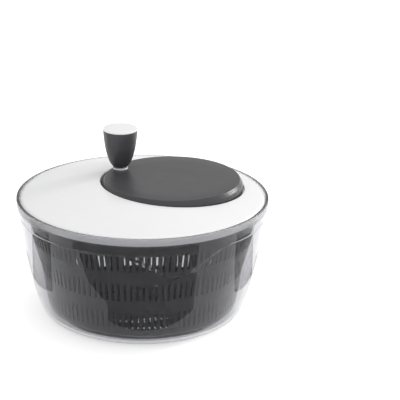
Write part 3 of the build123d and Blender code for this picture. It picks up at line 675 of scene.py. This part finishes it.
def domedLid(size):
    well = discRadius + size["wellClearance"]
    join, floor = size["joinRadius"], size["edge"]
    bpy.ops.object.select_all(action="DESELECT")
    bpy.ops.mesh.primitive_circle_add(vertices=size["steps"], radius=well)
    piece = bpy.context.object
    piece.name = "whiteLid"
    bpy.ops.object.mode_set(mode="EDIT")
    bpy.ops.transform.translate(value=(crankCentre.x, crankCentre.y, floor))
    rings = [(crankCentre.x, crankCentre.y, floor, well)]
    for step in range(1, size["joinRings"] + 1):  # from the well out to the lid's own axis
        share = step / size["joinRings"]
        growRing(
            rings, crankCentre.x * (1 - share), crankCentre.y * (1 - share), floor,
            well + (join - well) * share,
        )
    mesh = bmesh.from_edit_mesh(piece.data)
    for vert in mesh.verts:
        vert.co.z = domeHeight(size, vert.co.x, vert.co.y)
    bmesh.update_edit_mesh(piece.data)
    rings = [(0, 0, domeHeight(size, join, 0), join)]
    for x, z in lidEdgeOutline(size)[1:]:
        growRing(rings, 0, 0, z, x)

    def onWell(edge, above=0):
        return all(
            abs((vert.co.xy - crankCentre.xy).length - well) < 0.05 * mm
            and vert.co.z > above for vert in edge.verts
        )

    selectWhere("edges", lambda edge: edge.is_boundary and onWell(edge))
    bpy.ops.mesh.extrude_region_move()
    bpy.ops.transform.resize(value=(1, 1, 0), center_override=(0, 0, floor))
    bpy.ops.mesh.edge_face_add()
    weld()
    selectWhere("edges", lambda edge: onWell(edge, floor + 0.5 * mm))
    bpy.ops.mesh.bevel(offset=size["wellRound"], segments=3, affect="EDGES")
    mesh = bmesh.from_edit_mesh(piece.data)
    if max(mesh.faces, key=lambda face: middle(face).z).normal.z < 0:
        bpy.ops.mesh.select_all(action="SELECT")
        bpy.ops.mesh.flip_normals()
    bpy.ops.object.mode_set(mode="OBJECT")
    useModifier(piece, "SOLIDIFY", thickness=size["wall"], offset=-1, use_even_offset=True)
    return finishMesh(size["crease"])


dress(domedLid(lid), white, "white_plastic", "lid", "lid")
print("lid made")

disc = {
    "thickness": 3.2 * mm,
    "wall": 2.4 * mm,
    "foot": 129 * mm,
    "bevelWidth": 3.3 * mm,
    "bevelHeight": 4.2 * mm,
    "shoulderDrop": 2.2 * mm,   # where the side starts to turn in, below the bevel
    "shoulderRound": 4.4 * mm,
    "crest": (0.4 * mm, 0.56 * mm, 0.88 * mm),      # in, down, radius
    "topRings": (0.75, 0.5, 0.25, 0),               # each a share of the one before
    "hubRadius": 11 * mm,
    "hubFoot": 129.7 * mm,
    "steps": 256,
    "crease": 30,               # degrees
}


def discOutline(size):
    top, foot, inner = discHigh.z, size["foot"], discRadius - size["wall"]
    under = top - size["thickness"]
    shoulder = top - size["bevelHeight"]
    bevelled = discRadius - size["bevelWidth"]
    crestIn, crestDown, crestRound = size["crest"]
    pen = Pen(0, size["hubFoot"]).line(size["hubRadius"], size["hubFoot"])
    pen.line(size["hubRadius"], under).line(bevelled - size["wall"] / 2, under)
    pen.line(inner, shoulder).line(inner, foot)
    pen.line(discRadius, foot).line(discRadius, shoulder - size["shoulderDrop"])
    slope = math.degrees(math.atan2(size["bevelHeight"], -size["bevelWidth"]))
    pen.turn(size["shoulderRound"], slope - 90, steps=6)
    pen.line(bevelled + crestIn, top - crestDown)
    pen.turn(crestRound, 180 - slope, steps=4)
    for share in size["topRings"]:
        pen.line(pen.points[-1][0] * share, top)
    return pen.points


greyDisc = spinPiece(
    "crankDisc", discOutline(disc), disc["steps"], crankCentre.xy, angle=disc["crease"]
)
dress(greyDisc, grey, "grey_plastic", "crank", "crank_disc")
print("crank disc made")

knob = {
    "footRadius": 7 * mm,
    "topRadius": 18.1 * mm,
    "shares": ((0, 0), (0.34, 0.12), (0.58, 0.29), (0.78, 0.5), (0.92, 0.76), (1, 1)),
    "cupRadius": 14.4 * mm,
    "coreRadius": 9.1 * mm,
    "coreHeight": 16 * mm,
    "bore": 2.55 * mm,
    "edgeRound": 0.5 * mm,
    "edgeInset": 0.1 * mm,
    "edgeShare": 0.3,           # of the round, where its middle point lies
    "capHeight": 1.7 * mm,
    "capRound": 0.7 * mm,
    "capRing": 0.6,             # share of the radius
    "seamGap": 0.25 * mm,
    "seamDepth": 0.6 * mm,
    "collarBore": 2.5 * mm,
    "collarRadius": 8.2 * mm,
    "collarRound": 0.6 * mm,
    "steps": 128,
    "collarSteps": 96,
}


def knobOutline(size):
    foot, top = knobLow.z, knobHigh.z
    swell = size["topRadius"] - size["footRadius"]
    side = throughPoints([
        (size["footRadius"] + swell * out, foot + (top - foot) * up)
        for out, up in size["shares"]
    ], steps=8)
    soft, bore = size["edgeRound"], size["bore"]
    edge = side[-1][0] - size["edgeInset"]
    mid = soft * size["edgeShare"]
    rim = [(edge, top - soft), (edge - mid, top - mid), (edge - soft, top)]
    core = foot + size["coreHeight"]
    hollow = [(size["cupRadius"], top), (size["coreRadius"], core), (bore, core), (bore, foot)]
    return [(bore, foot), (size["footRadius"] - soft, foot)] + side[1:-1] + rim + hollow


def capOutline(size):
    low, high = capHigh.z - size["capHeight"], capHigh.z
    edge, seam, soft = size["topRadius"], low + size["seamGap"], size["capRound"]
    inner = edge - size["seamDepth"]
    pen = Pen(0, low).line(inner, low).line(inner, seam).line(edge, seam)
    pen.line(edge, high - soft).turn(soft, 90, steps=5)
    return pen.line(edge * size["capRing"], high).line(0, high).points


def collarOutline(size):
    low, high, bore = collarLow.z, collarHigh.z, size["collarBore"]
    edge, soft = size["collarRadius"], size["collarRound"]
    pen = Pen(bore, low).line(edge, low).line(edge, high - soft).turn(soft, 90, steps=4)
    return pen.line(bore, high).line(bore, low).points


knobGrip = spinPiece("knobGrip", knobOutline(knob), knob["steps"], knobCentre.xy)
dress(knobGrip, knobGrey, "grey_plastic", "knob", "knob_body")
knobTop = spinPiece("knobCap", capOutline(knob), knob["steps"], knobCentre.xy)
dress(knobTop, white, "white_plastic", "knob", "knob_cap")
collar = spinPiece("knobCollar", collarOutline(knob), knob["collarSteps"], knobCentre.xy)
dress(collar, white, "white_plastic", "crank", "knob_collar")
print("knob made")

keptFinishes = {  # pieces that keep their shape from the frame
    "pivot_foot": acetal, "pivot_pin": steel, "pivot_clip": steel, "basket_bush": acetal,
    "basket_hub_cap": black, "shaft_bush": acetal, "axle_bush": acetal, "ring_gear": nylon,
    "ring_gear_screws": steel, "crank_axle": steel, "axle_washer": steel, "axle_screw": steel,
    "knob_spindle": steel, "knob_clip": steel, "drive_shaft": steel, "pinion": acetal,
    "pinion_clip": steel, "thrust_washer": acetal, "drive_spider": black,
    "spider_washer": steel, "spider_screw": steel,
}
for nodeName, finish in keptFinishes.items():
    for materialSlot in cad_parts[nodeName].material_slots:
        materialSlot.material = finish
print("inner pieces dressed")

studio = {
    "floorSize": 30.0,
    "floorDark": (0.8, 0.8, 0.8),
    "floorLight": (0.82, 0.82, 0.82),
    "floorScale": 3,
    "floorRoughness": 0.9,
    "floorGlow": 0.55,
    "worldGlow": 0.6,
    "lamps": (
        # name, place, aim, width, height, watts, whether reflections see it
        ("frontBox", (0.3, -1.9, 1.6), (0, 0, 0.08), 1.2, 0.8, 8.0, False),
        ("rightBox", (1.1, 0.62, 0.62), (0, 0, 0.12), 0.26, 0.42, 6.5, True),
        ("topBox", (0.5, 0.3, 3.2), (0, 0, 0.1), 3.0, 3.0, 36.0, True),
    ),
    "flags": (  # corners of the black cards in front, on the left and on the right
        ((-0.045, -0.125), (-0.065, -0.155), (-0.26, -0.19), (-0.3, -0.4), (0.36, -0.33),
         (0.09, -0.118)),
        ((-0.15, 0.05), (-0.5, 0.11), (-0.5, -0.09), (-0.15, -0.05)),
        ((0.15, -0.03), (0.5, -0.06), (0.5, 0.14), (0.15, 0.07)),
    ),
    "flagHeight": 1 * mm,
    "flagDark": (0.004, 0.004, 0.004),
    "flagLight": (0.008, 0.008, 0.008),
    "flagScale": 40,
    "flagRoughness": 0.95,
    "lens": 165.6,
    "cameraPlace": (0.0592, -1.787, 0.770),
    "cameraDip": 19.91,         # degrees below level
    "cameraRoll": 0.85,         # degrees
}


def makeFloor(size):
    bpy.ops.object.select_all(action="DESELECT")
    bpy.ops.mesh.primitive_plane_add(size=size["floorSize"])
    floor = bpy.context.object
    floor.name = "floor"
    material, wire = newMaterial("paleFloor")
    shade = noise(wire, size["floorScale"], detail=2)
    setSurface(wire, wire.node("ShaderNodeBsdfPrincipled", {}, {
        "Base Color": tint(wire, shade, size["floorDark"], size["floorLight"]),
        "Roughness": size["floorRoughness"],
        "Emission Color": (1, 1, 1, 1),
        "Emission Strength": size["floorGlow"],
    }))
    floor.data.materials.append(material)


def makeFlag(size, corners):  # a black card on the floor, that only reflections see
    bpy.ops.object.select_all(action="DESELECT")
    bpy.ops.mesh.primitive_circle_add(vertices=len(corners), fill_type="NGON")
    flag = bpy.context.object
    flag.name = "flag"
    for vert, (x, y) in zip(flag.data.vertices, corners):
        vert.co = (x, y, size["flagHeight"])
    material, wire = newMaterial("blackCard")
    shade = noise(wire, size["flagScale"], detail=3)
    setSurface(wire, wire.node("ShaderNodeBsdfPrincipled", {}, {
        "Base Color": tint(wire, shade, size["flagDark"], size["flagLight"]),
        "Roughness": size["flagRoughness"],
        "Specular IOR Level": 0.0,
    }))
    flag.data.materials.append(material)
    flag.visible_camera = flag.visible_diffuse = flag.visible_shadow = False
    flag.visible_transmission = False


def makeLamp(name, place, aim, width, height, watts, shines):
    data = bpy.data.lights.new(name, "AREA")
    data.shape = "RECTANGLE"
    data.size, data.size_y, data.energy = width, height, watts
    lamp = bpy.data.objects.new(name, data)
    lamp.location = place
    lamp.rotation_euler = (Vector(aim) - Vector(place)).to_track_quat("-Z", "Y").to_euler()
    lamp.visible_camera = False
    lamp.visible_transmission = False
    lamp.visible_glossy = shines
    bpy.context.collection.objects.link(lamp)


def makeWorld(glow):  # white behind the object, and a softer light all round it
    world = bpy.data.worlds.new("studio")
    bpy.context.scene.world = world
    world.use_nodes = True
    world.node_tree.nodes.clear()
    wire = Wire(world.node_tree)
    seen = wire.node("ShaderNodeLightPath", output="Is Camera Ray")
    backdrop = wire.node(
        "ShaderNodeBackground", {},
        {"Color": (1, 1, 1, 1), "Strength": glow + (1.0 - glow) * seen},
    )
    output = wire.tree.nodes.new("ShaderNodeOutputWorld")
    wire.tree.links.new(backdrop.socket, output.inputs["Surface"])


def makeCamera(look):
    data = bpy.data.cameras.new("camera")
    data.lens = look["lens"]
    camera = bpy.data.objects.new("camera", data)
    camera.location = look["cameraPlace"]
    tilt = Matrix.Rotation(math.radians(90 - look["cameraDip"]), 3, "X")
    roll = Matrix.Rotation(math.radians(look["cameraRoll"]), 3, "Z")
    camera.rotation_euler = (tilt @ roll).to_euler()
    bpy.context.collection.objects.link(camera)
    bpy.context.scene.camera = camera


makeFloor(studio)
for corners in studio["flags"]:
    makeFlag(studio, corners)
for lamp in studio["lamps"]:
    makeLamp(*lamp)
makeWorld(studio["worldGlow"])
makeCamera(studio)
bpy.context.scene.view_settings.view_transform = "Standard"
print("studio made")
